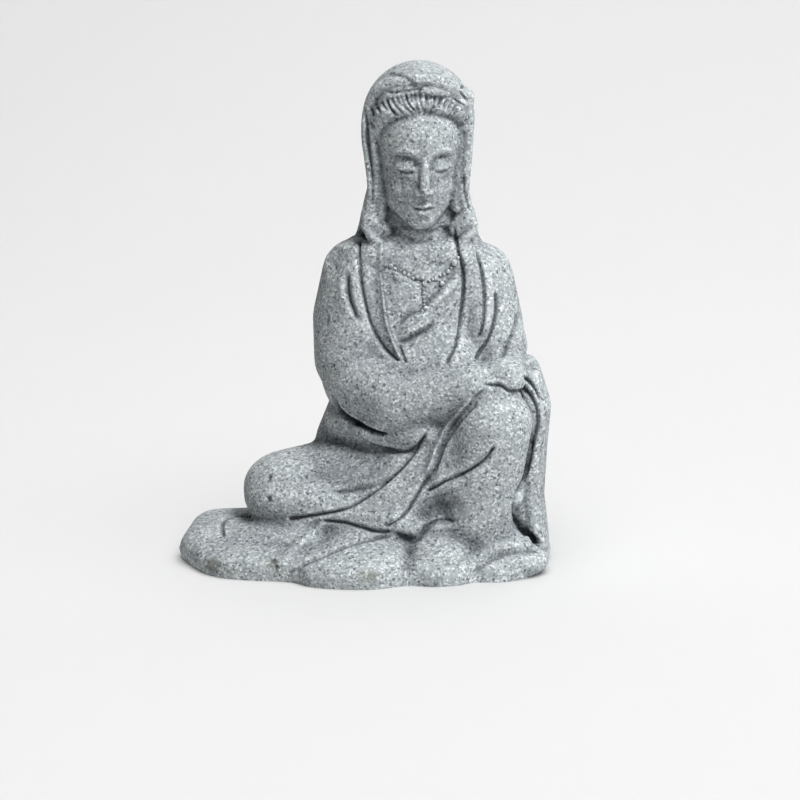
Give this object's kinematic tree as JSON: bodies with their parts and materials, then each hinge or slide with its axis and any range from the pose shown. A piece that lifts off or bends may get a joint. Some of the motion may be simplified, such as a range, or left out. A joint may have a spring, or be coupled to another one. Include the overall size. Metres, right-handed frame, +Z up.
{
  "type": "seated hooded bodhisattva statue",
  "caption": "Small cast-stone statue of a hooded, robed figure seated at royal ease, one knee raised with the hands on it, on the spread hem of its own robe",
  "frame": {"origin": "middle of the bounding box's underside, on the surface that the statue stands on", "axes": "+X to the viewer's right, -Y toward the viewer the figure faces, +Z up"},
  "size_m": [0.098, 0.075, 0.1299],
  "materials": {
    "cast_stone": "matte"
  },
  "bodies": {
    "root": {"statue": "cast_stone"}
  },
  "joints": []
}
